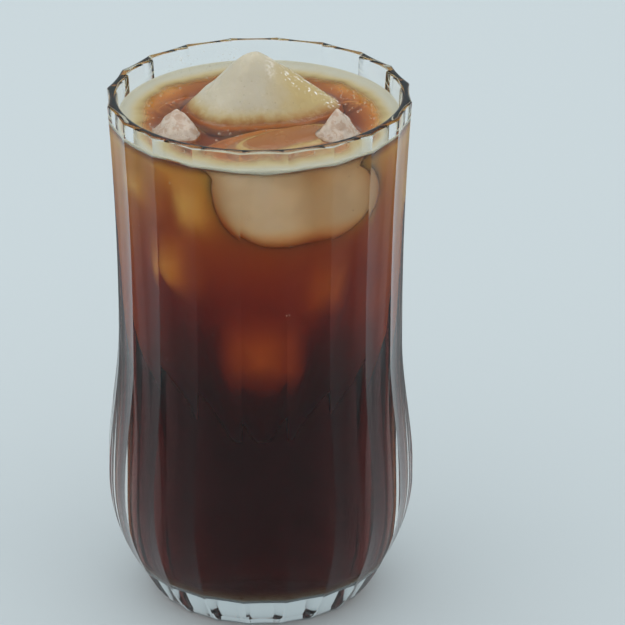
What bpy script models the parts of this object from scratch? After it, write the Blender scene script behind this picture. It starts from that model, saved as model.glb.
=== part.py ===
"""Iced americano in its fluted glass tumbler: the glass, the coffee, four pieces of ice and a ring of froth.

Sizes are in metres and +Z is up. The origin is the middle of the foot's underside, where the glass stands.
"""

import math
from dataclasses import dataclass

import bmesh
import bpy

# The glass, outside: sharp ridges run from foot to rim, with a shallow hollow flute between each two.
FLUTES = 20
FIRST_RIDGE = math.radians(-6.8)
FLUTE_DEPTH = 0.022  # how far the middle of a flute lies inside the ridges, as a share of their radius
FLUTE_STEPS = 4
HEIGHT = 0.127
FOOT_RADIUS = 0.0251
FOOT_EDGE = 0.0005
FOOT_FLARE = 0.78  # how fast the wall spreads as it leaves the foot: radius gained for each unit of height
BULGE_RADIUS = 0.0368
BULGE_HEIGHT = 0.0318
WAIST_RADIUS = 0.0340
WAIST_LOW = 0.066
WAIST_HIGH = 0.072
RIM_RADIUS = 0.0360

# The glass, inside: a round, smooth bore that narrows evenly to a rounded floor.
BORE_RADIUS = 0.0333
BORE_DRAFT = 0.0566  # radius lost for each unit of depth
FLOOR_HEIGHT = 0.0079
FLOOR_CORNER = 0.0045
RIM_ROUNDING = 0.0007

# The drink. Neighbouring pieces keep GAP between them.
GAP = 0.0003
COFFEE_LEVEL = 0.1208
FROTH_LOW = COFFEE_LEVEL + GAP
FROTH_HIGH = 0.1220
FROTH_INNER_RADIUS = 0.0260
FROTH_FRONT_REACH = 0.0040  # how much further the froth reaches inwards at the front
FROTH_WAVES = ((3, 0.0007, 0.6), (7, 0.0005, 2.1), (12, 0.0003, 4.4))  # waves round the edge, size, phase
COFFEE_STEPS = 40
FROTH_STEPS = 80


@dataclass
class Ice:
    """A piece of ice: a crown that stands out of the coffee and a belly that hangs in it."""

    name: str
    centre: tuple  # where the middle of its outline at the coffee's surface is
    half_size: tuple  # half its width and half its depth at that surface
    turn: float  # degrees that the outline is turned about Z
    squareness: float  # 2 is an oval outline, more is nearer to a rectangle
    peak: tuple  # the highest point, from the centre
    rise: float  # how high that point stands above the surface
    crown: float  # 1 is a cone, more is rounder, and 4 is nearly flat with rounded edges
    skew: float  # how much rounder the crown is on its right than on its left, as a share
    spire: float  # the share of the rise that is a narrower rounded tip on top of the crown
    saddle: float  # how deep the hollow on the right of the peak is, as a share of the rise
    sink: float  # how far the belly reaches below the surface
    lean: tuple  # how far the belly is shifted sideways half way down
    swell: float  # how much wider the belly is half way down, as a share
    step: tuple  # centre, half size and turn of its outline at LEDGE_DEPTH, or empty if it goes straight down
    wear: float  # where the uneven wear of its outline starts, in radians
    columns: int
    crown_rows: int
    belly_rows: int


MELT_WAVES = ((3, 0.035), (5, 0.022), (8, 0.012))  # waves worn into an outline: how many, and how deep
SPIRE_TIP = 0.53  # how blunt a spire's tip is
BELLY_END = math.radians(84)  # how far round the belly's curve runs before its flat bottom
LEDGE_DEPTH = 0.0010  # how far under the surface the ice has its wider outline
OFF_WALL = 0.0012  # the coffee that stays between the ice and the glass
WALL_BLEND = 0.0015  # how softly the ice turns away from the glass
CUTTER_GROWTH = GAP * 1.6  # more than GAP, as facets lie a little inside the curves that they follow

ICE_PIECES = (
    Ice(name="ice_large", centre=(0.0002, 0.0065), half_size=(0.0179, 0.0105), turn=7.7, squareness=2.3,
        peak=(-0.0009, 0.0011), rise=0.0139, crown=3.63, skew=-0.56, spire=0.74, saddle=0.052, sink=0.0200,
        lean=(0.0, 0.0020), swell=0.16, step=((0.0002, 0.0056), (0.0180, 0.0117), 7.7), wear=2.6,
        columns=28, crown_rows=8, belly_rows=8),
    Ice(name="ice_left", centre=(-0.0193, -0.0093), half_size=(0.0057, 0.0046), turn=-38, squareness=2.4,
        peak=(0.0003, 0.0012), rise=0.0057, crown=1.35, skew=0.12, spire=0.0, saddle=0.0, sink=0.0100,
        lean=(-0.0014, -0.0032), swell=0.20, step=(), wear=0.4, columns=18, crown_rows=4, belly_rows=7),
    Ice(name="ice_right", centre=(0.0184, -0.0100), half_size=(0.0052, 0.0044), turn=43, squareness=2.4,
        peak=(-0.0003, 0.0004), rise=0.0062, crown=1.30, skew=0.12, spire=0.0, saddle=0.0, sink=0.0050,
        lean=(0.0, 0.0), swell=0.05, step=(), wear=3.9, columns=16, crown_rows=4, belly_rows=4),
    Ice(name="ice_front", centre=(0.0066, -0.0131), half_size=(0.0122, 0.0053), turn=31, squareness=2.7,
        peak=(-0.0014, 0.0026), rise=0.0010, crown=4.0, skew=0.12, spire=0.0, saddle=0.0, sink=0.0215,
        lean=(0.0030, 0.0), swell=0.06, step=((0.0050, -0.0189), (0.0192, 0.0124), 26), wear=5.0,
        columns=36, crown_rows=4, belly_rows=10),
)

COLOURS = {  # base colour, roughness, transmission
    "glass": ((0.93, 0.96, 0.97, 1.0), 0.02, 1.0),
    "coffee": ((0.16, 0.05, 0.02, 1.0), 0.05, 0.0),
    "ice": ((0.72, 0.70, 0.62, 1.0), 0.12, 0.3),
    "froth": ((0.66, 0.62, 0.52, 1.0), 0.45, 0.0),
}


def clear_scene():
    for old in list(bpy.data.objects):
        bpy.data.objects.remove(old)


def ease(share):
    """A smooth step from 0 to 1."""
    return share * share * (3 - 2 * share)


def ridge_radius(height):
    """The glass's outer radius at its ridges."""
    if height < BULGE_HEIGHT:
        share = height / BULGE_HEIGHT
        flare = FOOT_FLARE * BULGE_HEIGHT * share * (1 - share) ** 2
        return FOOT_RADIUS + (BULGE_RADIUS - FOOT_RADIUS) * ease(share) + flare
    if height < WAIST_LOW:
        share = (height - BULGE_HEIGHT) / (WAIST_LOW - BULGE_HEIGHT)
        return BULGE_RADIUS + (WAIST_RADIUS - BULGE_RADIUS) * ease(share)
    share = max(0.0, (height - WAIST_HIGH) / (HEIGHT - WAIST_HIGH))
    return WAIST_RADIUS + (RIM_RADIUS - WAIST_RADIUS) * share ** 2


def bore_radius(height):
    """The radius of the straight, tapering part of the inside."""
    return BORE_RADIUS - BORE_DRAFT * (HEIGHT - height)


def circle(radius, height, steps):
    """Points of a level ring, starting at the first ridge and running anticlockwise seen from above."""
    angles = [FIRST_RIDGE + math.tau * i / steps for i in range(steps)]
    return [(radius * math.cos(a), radius * math.sin(a), height) for a in angles]


def fluted_ring(radius, height):
    """A level ring whose radius dips between the ridges."""
    points = []
    steps = FLUTES * FLUTE_STEPS
    for i in range(steps):
        across = (i % FLUTE_STEPS) / FLUTE_STEPS
        dipped = radius * (1 - FLUTE_DEPTH * 4 * across * (1 - across))
        angle = FIRST_RIDGE + math.tau * i / steps
        points.append((dipped * math.cos(angle), dipped * math.sin(angle), height))
    return points


def spaced(low, high, count):
    """count heights from low to high, both included."""
    return [low + (high - low) * i / (count - 1) for i in range(count)]


def bore_profile(top, inset, straight_rows, corner_rows):
    """(radius, height) down the inside from top to the floor's flat, moved inwards by inset."""
    corner_top = FLOOR_HEIGHT + FLOOR_CORNER
    profile = [(bore_radius(z) - inset, z) for z in spaced(top, corner_top, straight_rows)]
    corner_radius = FLOOR_CORNER - inset
    middle = bore_radius(corner_top) - FLOOR_CORNER
    for i in range(1, corner_rows + 1):
        angle = math.pi / 2 * i / corner_rows
        radius = middle + corner_radius * math.cos(angle)
        profile.append((radius, corner_top - corner_radius * math.sin(angle)))
    return profile


def skin(name, rings, closed_loop=False):
    """A closed mesh through rings of equal length: capped at both ends, or joined end to end."""
    mesh = bmesh.new()
    rows = [[mesh.verts.new(point) for point in ring] for ring in rings]
    pairs = list(zip(rows, rows[1:]))
    if closed_loop:
        pairs.append((rows[-1], rows[0]))
    else:
        mesh.faces.new(rows[0])
        mesh.faces.new(rows[-1])
    for low, high in pairs:
        for i in range(len(low)):
            after = (i + 1) % len(low)
            mesh.faces.new((low[i], low[after], high[after], high[i]))
    bmesh.ops.recalc_face_normals(mesh, faces=mesh.faces)
    data = bpy.data.meshes.new(name)
    mesh.to_mesh(data)
    mesh.free()
    data.shade_smooth()
    data.set_sharp_from_angle(angle=math.radians(25))
    piece = bpy.data.objects.new(name, data)
    bpy.context.scene.collection.objects.link(piece)
    return piece


def material(name):
    colour, roughness, transmission = COLOURS[name]
    finish = bpy.data.materials.get(name) or bpy.data.materials.new(name)
    finish.use_nodes = True
    shader = finish.node_tree.nodes["Principled BSDF"]
    shader.inputs["Base Color"].default_value = colour
    shader.inputs["Roughness"].default_value = roughness
    shader.inputs["Transmission Weight"].default_value = transmission
    return finish


def build_glass():
    """Up the fluted outside, over the rounded rim and down the smooth bore to the floor."""
    heights = [FOOT_EDGE] + spaced(0.004, BULGE_HEIGHT, 7) + spaced(0.039, WAIST_LOW, 5)
    heights += spaced(0.079, HEIGHT - RIM_ROUNDING, 5)
    rings = [fluted_ring(FOOT_RADIUS - FOOT_EDGE, 0.0)]
    rings += [fluted_ring(ridge_radius(z), z) for z in heights]
    rings.append(fluted_ring(RIM_RADIUS - RIM_ROUNDING, HEIGHT))
    steps = FLUTES * FLUTE_STEPS
    rings.append(circle(BORE_RADIUS + RIM_ROUNDING, HEIGHT, steps))
    rings += [circle(r, z, steps) for r, z in bore_profile(HEIGHT - RIM_ROUNDING, 0.0, 3, 5)]
    glass = skin("glass", rings)
    glass.data.materials.append(material("glass"))
    return glass


def build_coffee():
    """The drink up to its surface, a GAP inside the bore all round."""
    profile = bore_profile(COFFEE_LEVEL, GAP, 3, 5)
    coffee = skin("coffee", [circle(r, z, COFFEE_STEPS) for r, z in profile])
    coffee.data.materials.append(material("coffee"))
    return coffee


def froth_edge(angle):
    """How far from the axis the froth's uneven inner edge lies."""
    facing_front = max(0.0, -math.sin(angle)) ** 3
    waves = sum(size * math.sin(count * angle + phase) for count, size, phase in FROTH_WAVES)
    return FROTH_INNER_RADIUS - FROTH_FRONT_REACH * facing_front + waves


def build_froth():
    """The thin ring of froth that floats on the coffee against the glass."""
    outer = bore_radius(FROTH_LOW) - GAP
    low, high = [], []
    for i in range(FROTH_STEPS):
        angle = FIRST_RIDGE + math.tau * i / FROTH_STEPS
        edge = froth_edge(angle)
        low.append((edge * math.cos(angle), edge * math.sin(angle), FROTH_LOW))
        high.append((edge * math.cos(angle), edge * math.sin(angle), FROTH_HIGH))
    rings = [circle(outer, FROTH_LOW, FROTH_STEPS), circle(outer, FROTH_HIGH, FROTH_STEPS), high, low]
    froth = skin("foam_ring", rings, closed_loop=True)
    froth.data.materials.append(material("froth"))
    return froth


def outline(ice, centre, half_size, turn, grow):
    """Points of the ice's worn outline with this centre, size and turn, made larger by grow."""
    power = ice.squareness
    points = []
    for angle in columns_round(ice):
        across = abs(math.cos(angle) / (half_size[0] + grow))
        along = abs(math.sin(angle) / (half_size[1] + grow))
        worn = sum(size * math.sin(count * angle + ice.wear * count) for count, size in MELT_WAVES)
        radius = (across ** power + along ** power) ** (-1 / power) * (1 + worn)
        turned = angle + math.radians(turn)
        points.append((centre[0] + radius * math.cos(turned), centre[1] + radius * math.sin(turned)))
    return points


def columns_round(ice):
    return [math.tau * index / ice.columns for index in range(ice.columns)]


def crown_height(ice, share, angle):
    """The crown's height this share of the way from its peak to its outline, as a share of its rise."""
    dome = 1 - share ** (ice.crown * (1 + ice.skew * math.cos(angle)))
    blunted = (math.hypot(share, SPIRE_TIP) - SPIRE_TIP) / (math.hypot(1.0, SPIRE_TIP) - SPIRE_TIP)
    hollow = ice.saddle * math.sin(math.tau * share) * max(0.0, math.cos(angle)) ** 2
    return (1 - ice.spire) * dome + ice.spire * (1 - blunted) ** 2 - hollow


def ice_rings(ice, grow):
    """Rings from just under the peak, down over the crown, round the belly to its flat bottom."""
    top = outline(ice, ice.centre, ice.half_size, ice.turn, grow)
    rings = []
    for row in range(1, ice.crown_rows + 1):
        share = row / ice.crown_rows
        shift = [(1 - share) * offset for offset in ice.peak]
        ups = [(ice.rise + grow) * crown_height(ice, share, angle) for angle in columns_round(ice)]
        rings.append(placed(top, ice.centre, share, shift, ups))
    centre = ice.centre
    if ice.step:
        centre = ice.step[0]
        top = outline(ice, *ice.step, grow)
        rings.append(placed(top, centre, 1.0, (0.0, 0.0), [grow - LEDGE_DEPTH] * ice.columns))
    for row in range(1, ice.belly_rows + 1):
        angle = BELLY_END * row / ice.belly_rows
        power = 2 / ice.squareness
        share = math.cos(angle) ** power * (1 + ice.swell * math.sin(2 * angle))
        shift = [math.sin(2 * angle) * offset for offset in ice.lean]
        down = -ice.sink * math.sin(angle) ** power - grow * math.sin(angle) ** 2
        rings.append(placed(top, centre, share, shift, [down] * ice.columns))
    return [[kept_off_wall(point, grow) for point in ring] for ring in rings]


def placed(points, centre, share, shift, ups):
    """An outline scaled by share, shifted sideways and set at these heights above the surface."""
    return [
        (centre[0] + share * (x - centre[0]) + shift[0], centre[1] + share * (y - centre[1]) + shift[1],
         COFFEE_LEVEL + up)
        for (x, y), up in zip(points, ups)
    ]


def kept_off_wall(point, grow):
    """The point, drawn in softly towards the axis where it would come nearer to the glass than OFF_WALL."""
    x, y, z = point
    reach = math.hypot(x, y)
    limit = bore_radius(z) - OFF_WALL + grow
    nearer = min(reach, limit)
    kept = nearer - WALL_BLEND * math.log(1 + math.exp(-abs(reach - limit) / WALL_BLEND))
    return x * kept / reach, y * kept / reach, z


def build_ice(ice):
    piece = skin(ice.name, ice_rings(ice, 0.0))
    piece.data.materials.append(material("ice"))
    return piece


def build_ice_cutter(ice):
    """The same ice, larger all round, to cut its neighbours with."""
    cutter = skin(ice.name + "_cutter", ice_rings(ice, CUTTER_GROWTH))
    cutter.hide_render = True
    cutter.display_type = "WIRE"
    return cutter


def cut(piece, cutter):
    boolean = piece.modifiers.new(cutter.name, "BOOLEAN")
    boolean.operation = "DIFFERENCE"
    boolean.solver = "EXACT"
    boolean.object = cutter


def main():
    clear_scene()
    build_glass()
    pieces = {ice.name: build_ice(ice) for ice in ICE_PIECES}
    cutters = {ice.name: build_ice_cutter(ice) for ice in ICE_PIECES}
    cut(pieces["ice_front"], cutters["ice_right"])
    for floating_in in (build_coffee(), build_froth()):
        for cutter in cutters.values():
            cut(floating_in, cutter)


main()
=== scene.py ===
"""Looks for an iced americano in its fluted glass: the clear glass, the coffee, its ice, froth and bubbles.

Sizes are in metres and +Z is up. The origin is the middle of the foot's underside, where the glass stands,
and -Y is the front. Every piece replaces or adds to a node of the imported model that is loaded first.
"""

import math
from dataclasses import dataclass

import bmesh
import bpy
import numpy as np
from bpy.props import FloatProperty, FloatVectorProperty, IntProperty, PointerProperty
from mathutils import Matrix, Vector, noise


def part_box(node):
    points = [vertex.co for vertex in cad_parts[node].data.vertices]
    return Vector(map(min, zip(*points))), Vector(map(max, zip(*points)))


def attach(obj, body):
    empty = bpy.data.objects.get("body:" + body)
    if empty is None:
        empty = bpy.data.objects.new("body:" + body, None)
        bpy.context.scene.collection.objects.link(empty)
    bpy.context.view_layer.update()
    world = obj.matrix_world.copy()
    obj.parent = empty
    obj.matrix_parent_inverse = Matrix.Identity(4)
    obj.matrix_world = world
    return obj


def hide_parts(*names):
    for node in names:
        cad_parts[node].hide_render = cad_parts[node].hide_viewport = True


bl_info = {
    "name": "Iced Coffee Glass",
    "version": (1, 0, 0),
    "blender": (4, 5, 0),
    "location": "View3D > Sidebar > Iced Coffee",
    "description": "Builds a glass of iced coffee with its ice and froth, and a stage to show it on",
    "category": "Object",
}

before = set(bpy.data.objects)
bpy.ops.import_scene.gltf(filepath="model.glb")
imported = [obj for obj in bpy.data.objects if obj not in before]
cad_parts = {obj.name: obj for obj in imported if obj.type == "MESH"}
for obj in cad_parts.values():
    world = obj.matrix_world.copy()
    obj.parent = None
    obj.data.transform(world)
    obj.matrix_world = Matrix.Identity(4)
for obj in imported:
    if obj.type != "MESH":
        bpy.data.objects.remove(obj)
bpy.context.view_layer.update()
GLASS_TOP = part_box("glass")[1].z

UP = np.array([0.0, 0.0, 1.0])

# Meshing.
FLUTE_STEPS = 12  # columns of faces across one flute
OUTSIDE_ROWS = 120
BORE_ROWS = 60
CORNER_ROWS = 12
FLOOR_RINGS = 10
ROUND_STEPS = 4
SURFACE_RINGS = 56
SMALLEST_RING = 0.01  # the surface's innermost ring, as a share of its radius
FROTH_COLUMNS = 360
FROTH_ROWS = 18
WALL_COLUMNS = 72
CLOUDY_ICE_GRID = (144, 56)
CLEAR_ICE_GRID = (72, 28)
HEAP_GRID = (150, 240)
HEAP_HALVINGS = 30  # how often the search for its surface halves its steps
FOOT_ROUNDING = 0.0005
FOOT_RINGS = (0.15, 0.4, 0.65, 0.85)  # shares of the foot's radius
GLASS_CREASE = math.radians(25)  # edges sharper than this aren't smoothed
COFFEE_CREASE = math.radians(50)
UNDER_SURFACE = 0.0002  # deeper than this below the level, a face counts as under the surface
FROTH_LIP = 0.2  # the share of the froth's width over which its inner edge is rounded
FROTH_CLIMB = 0.5  # how much thicker it is at the glass, as a share
FROTH_SINK = 0.0001  # how far it reaches into the coffee, and how much further at the glass
FROTH_WALL_SINK = 0.0003

# Fits between the pieces.
SEAT = 0.00005  # how far the coffee and froth reach into the glass and the ice, so that no air gap shows
TOUCHING_GAP = 0.0003  # what two pieces of ice leave between them where one is cut round the other

MENISCUS_REACH = 0.0010  # how far from the glass, and from ice, the coffee still climbs
ICE_MENISCUS_REACH = 0.0008

# Waves round the froth's inner edge and where it meets the glass: how many, how high, where they start.
FROTH_WAVES = (
    (3, 0.0007, 0.6), (7, 0.0005, 2.1), (12, 0.0003, 4.4), (23, 0.00025, 1.3), (41, 0.00016, 0.2),
    (67, 0.00010, 3.0))
CONTACT_WAVES = ((4, 0.00022, 0.9), (7, 0.00020, 0.4), (13, 0.00016, 2.2), (23, 0.00008, 5.0))

# Where floating ice blends into the painted glow of coffee light seen through it: heights above the coffee,
# and places in X and Y.
YELLOW_HEIGHTS = (0.0022, 0.0058)
YELLOW_X = (0.003, 0.014)
ORANGE_HEIGHTS = (0.0014, 0.0040)
CREST_X = 0.0026  # where a painted highlight runs down the crest of the big ice's front
CREST_HEIGHTS = (0.0080, 0.0100)
SHOULDER_SLOPE = 0.64  # how steeply the wet shoulder with painted glints on its right falls, and where it would meet X = 0
SHOULDER_HEIGHT = 0.1331
SHOULDER_X = (0.0035, 0.0060)
SHOULDER_Y = (0.003, 0.005)

# Where sunken ice takes painted light and shade: depths under the coffee's surface, heights in the heap,
# depths from the glass, radii.
UPPER_DEPTHS = (0.0060, 0.0085)
SHALLOW_DEPTHS = (0.0005, 0.0040)
UNDERSIDE_DEPTHS = (0.0140, 0.0208)
HEAP_LOWER_HEIGHTS = (0.070, 0.104)
HEAP_LOWEST_HEIGHTS = (0.043, 0.076)
HEAP_LOWEST_RADII = (0.004, 0.022)
AWAY_FROM_GLASS = (0.0019, 0.0050)
INNER_RADII = (0.0230, 0.0285)

BUBBLES = {  # how many to the square metre, and the smallest and largest radius
    "froth_bubbles": (250000.0, 0.00008, 0.00032),
    "wall_bubbles": (7000.0, 0.00006, 0.00020),
    "wall_drops": (1200000.0, 0.00006, 0.00016),
}
BUBBLE_REACHES = (-0.0025, -0.0012, 0.0, 0.0012, 0.0025)  # from the froth's edge
BUBBLE_CROWDING = (0.15, 0.5, 1.0, 0.7, 0.3)  # how thick they lie there
BUBBLE_LIFT = 0.0001  # how far they stand above the surface, and how far inside the wall
BUBBLE_OFF_WALL = 0.0003
WALL_BUBBLES_FROM = 0.020  # height where bubbles inside the wall begin
WALL_BUBBLES_UNDER = 0.0006  # how far under the surface they end
WALL_BUBBLE_ROWS = 30
BUBBLE_CLUSTER = -52  # degrees round from +X where bubbles gather inside the wall
CLUSTER_WIDTH = 6  # degrees to each side
CLUSTER_CROWDING = 14  # how many times thicker they lie there
CLUSTER_HEIGHTS = (0.112, 0.118)  # between which they gather more and more
DROP_PLACES = (105, 126)  # degrees round from +X where drops cling to the dry wall
DROP_SPREAD = 4  # degrees to each side
DROP_OFF_WALL = 0.00005
DROPS_ABOVE = 0.0020  # how far above the surface drops begin, and how far under the rim they end
DROPS_UNDER_RIM = 0.0012
DROP_ROWS = 8


@dataclass
class Ice:
    """A piece of ice: a crown that stands out of the coffee and a belly that hangs in it."""

    name: str
    centre: tuple  # where the middle of its outline at the coffee's surface is
    half_size: tuple  # half its width and half its depth at that surface
    turn: float  # degrees that the outline is turned about Z
    squareness: float  # 2 is an oval outline, more is nearer to a rectangle
    peak: tuple  # the highest point, from the centre
    rise: float  # how high that point stands above the surface
    crown: float  # 1 is a cone, more is rounder, and 4 is nearly flat with rounded edges
    sink: float  # how far the belly reaches below the surface
    swell: float  # how much wider the belly is half way down, as a share
    wear: float  # where the uneven wear of its outline starts, in radians
    lumps: tuple  # (size of the lumps, how far they stand out) for each layer of unevenness
    skew: float = 0.12  # how much rounder the crown is on its right than on its left, as a share
    spire: float = 0.0  # the share of the rise that is a narrower rounded tip on top of the crown
    saddle: float = 0.0  # depth of the hollow between the peak and its right shoulder, as a share of the rise
    lean: tuple = (0.0, 0.0)  # how far the belly is shifted sideways half way down
    step: tuple = ()  # centre, half size and turn of its outline at LEDGE_DEPTH, if that is another


@dataclass
class Cube:
    """A cube in the heap of sunken ice, as it bulges towards the glass."""

    side: float  # degrees round the glass, from the front towards +X
    height: float
    half_width: float
    half_height: float
    depth: float  # how much coffee lies between its middle and the glass


@dataclass
class Shallow:
    """A place where the heap of sunken ice comes close under the surface."""

    centre: tuple
    half_size: tuple
    turn: float
    depth: float  # how far it stays under the surface


MELT_WAVES = ((3, 0.035), (5, 0.022), (8, 0.012))  # waves worn into an outline: how many, and how deep
PEAK_SHARE = 0.05  # where the first ring of faces round a peak lies
SPIRE_TIP = 0.53  # how blunt a spire's tip is
BELLY_END = math.radians(84)  # how far round the belly's curve runs before its flat bottom
LEDGE_DEPTH = 0.0010  # how far under the surface the ice has its wider outline
LEDGE_ROWS = 5
OFF_WALL = 0.0012  # the coffee that stays between the floating ice and the glass
WALL_BLEND = 0.0015  # how softly the ice turns away from the glass

FLOATING_ICE = (
    Ice(name="ice_large", centre=(0.0002, 0.0065), half_size=(0.0179, 0.0105), turn=7.7, squareness=2.3,
        peak=(-0.0009, 0.0011), rise=0.0139, crown=3.63, skew=-0.56, spire=0.74, saddle=0.052, sink=0.0200,
        lean=(0.0, 0.0020), swell=0.16, step=((0.0002, 0.0056), (0.0180, 0.0117), 7.7), wear=2.6,
        lumps=((0.0090, 0.00045), (0.0034, 0.00016), (0.0012, 0.00004))),
    Ice(name="ice_left", centre=(-0.0193, -0.0093), half_size=(0.0057, 0.0046), turn=-38, squareness=2.4,
        peak=(0.0003, 0.0012), rise=0.0057, crown=1.35, sink=0.0100, lean=(-0.0014, -0.0032), swell=0.20,
        wear=0.4, lumps=((0.0040, 0.00050), (0.0015, 0.00022))),
    Ice(name="ice_right", centre=(0.0184, -0.0100), half_size=(0.0052, 0.0044), turn=43, squareness=2.4,
        peak=(-0.0003, 0.0004), rise=0.0062, crown=1.30, sink=0.0050, swell=0.05, wear=3.9,
        lumps=((0.0036, 0.00055), (0.0014, 0.00025))),
    Ice(name="ice_front", centre=(0.0066, -0.0131), half_size=(0.0122, 0.0053), turn=31, squareness=2.7,
        peak=(-0.0014, 0.0026), rise=0.0010, crown=4.0, sink=0.0215, lean=(0.0030, 0.0), swell=0.06,
        step=((0.0050, -0.0189), (0.0192, 0.0124), 26), wear=5.0, lumps=((0.0070, 0.00010),)),
)
CLEAR_ICE = ("ice_left", "ice_right")
FILMED_ICE = "ice_front"  # the flat piece that coffee has run over
FILM_ENDS = (0.80, 0.98)  # shares of the way from its peak to its edge between which that film thins out,
BARE_BEGINS = (0.90, 0.94)  # and between which bare ice shows

HEAP_MIDDLE = 0.095  # height that the heap's surface is measured out from
HEAP_TOP_DEPTH = 0.0052  # how far the heap stays under the surface
HEAP_EDGE_DEPTH = 0.0010  # the same near the glass, under the froth
HEAP_BOTTOM = 0.040  # height of its underside
HEAP_WALL_DEPTHS = (  # height, and how much coffee lies between the heap and the glass there
    (0.040, 0.0250), (0.055, 0.0200), (0.070, 0.0150), (0.085, 0.0100), (0.100, 0.0066), (0.112, 0.0042),
    (0.118, 0.0024))
HEAP_SIDES = 0.72  # how much nearer the glass the heap lies at its sides and back, as a share
HEAP_SIDES_ANGLES = (52, 90)  # degrees from the front between which that grows, and heights
HEAP_SIDES_HEIGHTS = (0.040, 0.070)
HEAP_RIM = (0.0235, 0.0285)  # radii between which the heap's top rises to its edge
SHALLOW_FALL = 0.0006  # how much deeper a shallow place is at its edge
SHALLOW_BLEND = 0.0002
HEAP_CORNER = 0.0008  # how softly its top, sides and bottom meet
HEAP_SPREAD = 0.030  # radius at which the cubes' widths are measured
HEAP_BLEND = 0.0020  # how softly its cubes melt into each other
CUBE_CROWN = 0.0070  # how much further from the glass a cube's edges lie than its middle
CUBE_SQUARENESS = 2.6  # 2 is an oval outline, more is nearer to a rectangle
HEAP_GAP = 0.00004  # what the heap leaves round the floating ice
HEAP_LUMPS = ((0.0100, 0.0009), (0.0035, 0.00025))  # size of the lumps, and how far they stand out
HEAP_POLES = 0.03  # how near straight up and down its first and last ring are, in radians
HEAP_FARTHEST = 0.12  # from its middle, the distance within which its surface is searched for

CUBES = (
    Cube(-46, 0.0925, 0.0085, 0.0090, 0.0024), Cube(2, 0.0710, 0.0150, 0.0110, 0.0050),
    Cube(37, 0.0880, 0.0105, 0.0110, 0.0060), Cube(50, 0.1080, 0.0085, 0.0095, 0.0024),
    Cube(-64, 0.1110, 0.0090, 0.0080, 0.0024), Cube(-31, 0.1100, 0.0072, 0.0095, 0.0016),
    Cube(76, 0.0800, 0.0110, 0.0100, 0.0058), Cube(98, 0.1040, 0.0120, 0.0110, 0.0030),
    Cube(128, 0.0820, 0.0110, 0.0100, 0.0052), Cube(152, 0.1060, 0.0120, 0.0100, 0.0034),
    Cube(-172, 0.0860, 0.0120, 0.0110, 0.0046), Cube(-150, 0.1070, 0.0110, 0.0110, 0.0028),
    Cube(-118, 0.0900, 0.0110, 0.0100, 0.0040), Cube(-92, 0.0720, 0.0110, 0.0090, 0.0070),
)
SHALLOWS = (
    Shallow((-0.0200, 0.0105), (0.0030, 0.0010), 42, 0.0003),
    Shallow((0.0215, 0.0110), (0.0014, 0.0007), -20, 0.0003),
)


def length_field(name, description, default):
    return FloatProperty(name=name, description=description, default=default, unit="LENGTH")


def colour_field(name, description, default):
    return FloatVectorProperty(
        name=name, description=description, default=default, subtype="COLOR", min=0.0, max=1.0)


class GlassSizes(bpy.types.PropertyGroup):
    """The fluted glass."""

    flutes: IntProperty(name="Flutes", description="Hollow flutes round the outside", default=20, min=6)
    flute_depth: FloatProperty(
        name="Flute Depth", description="Depth of a flute, as a share of its ridges' radius", default=0.022,
        min=0.0, max=0.1, subtype="FACTOR")
    first_ridge: FloatProperty(
        name="First Ridge", description="Where the first ridge stands, from +X", default=math.radians(-6.8),
        subtype="ANGLE")
    height: length_field("Height", "Foot to rim", GLASS_TOP)
    foot_radius: length_field("Foot", "Radius of the foot", 0.0251)
    foot_flare: FloatProperty(
        name="Foot Flare", description="Radius gained for each unit of height as the wall leaves the foot",
        default=0.78)
    bulge_radius: length_field("Bulge", "Radius of the widest part of the belly", 0.0368)
    bulge_height: length_field("Bulge Height", "Height of that widest part", 0.0318)
    waist_radius: length_field("Waist", "Radius of the waist", 0.0340)
    waist_low: length_field("Waist From", "Height where the waist begins", 0.066)
    waist_high: length_field("Waist To", "Height where the waist ends", 0.072)
    rim_radius: length_field("Rim", "Radius of the rim", 0.0360)
    rim_rounding: length_field("Rim Rounding", "Radius of the rim's two edges", 0.0007)
    bore_radius: length_field("Bore", "Radius of the inside at the rim", 0.0333)
    bore_draft: FloatProperty(
        name="Bore Draft", description="Radius lost inside for each unit of depth", default=0.0566)
    floor_height: length_field("Base", "Thickness of the clear base", 0.0079)
    floor_corner: length_field("Floor Corner", "Radius where the inside turns into its floor", 0.0045)


class DrinkSizes(bpy.types.PropertyGroup):
    """The coffee, froth and bubbles."""

    level: length_field("Level", "Height of the coffee's surface", 0.1208)
    meniscus: length_field("Meniscus", "How far the coffee climbs the glass", 0.0009)
    ice_meniscus: length_field("Ice Meniscus", "How far the coffee climbs the ice", 0.0005)
    froth_radius: length_field("Froth Inner Radius", "Radius of the froth's inner edge", 0.0260)
    froth_front: length_field("Froth Front Reach", "How much further it reaches in at the front", 0.0040)
    froth_depth: length_field("Froth Thickness", "Thickness of the froth above the coffee", 0.00030)
    seed: IntProperty(name="Seed", description="Places the bubbles and drops", default=7)


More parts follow.
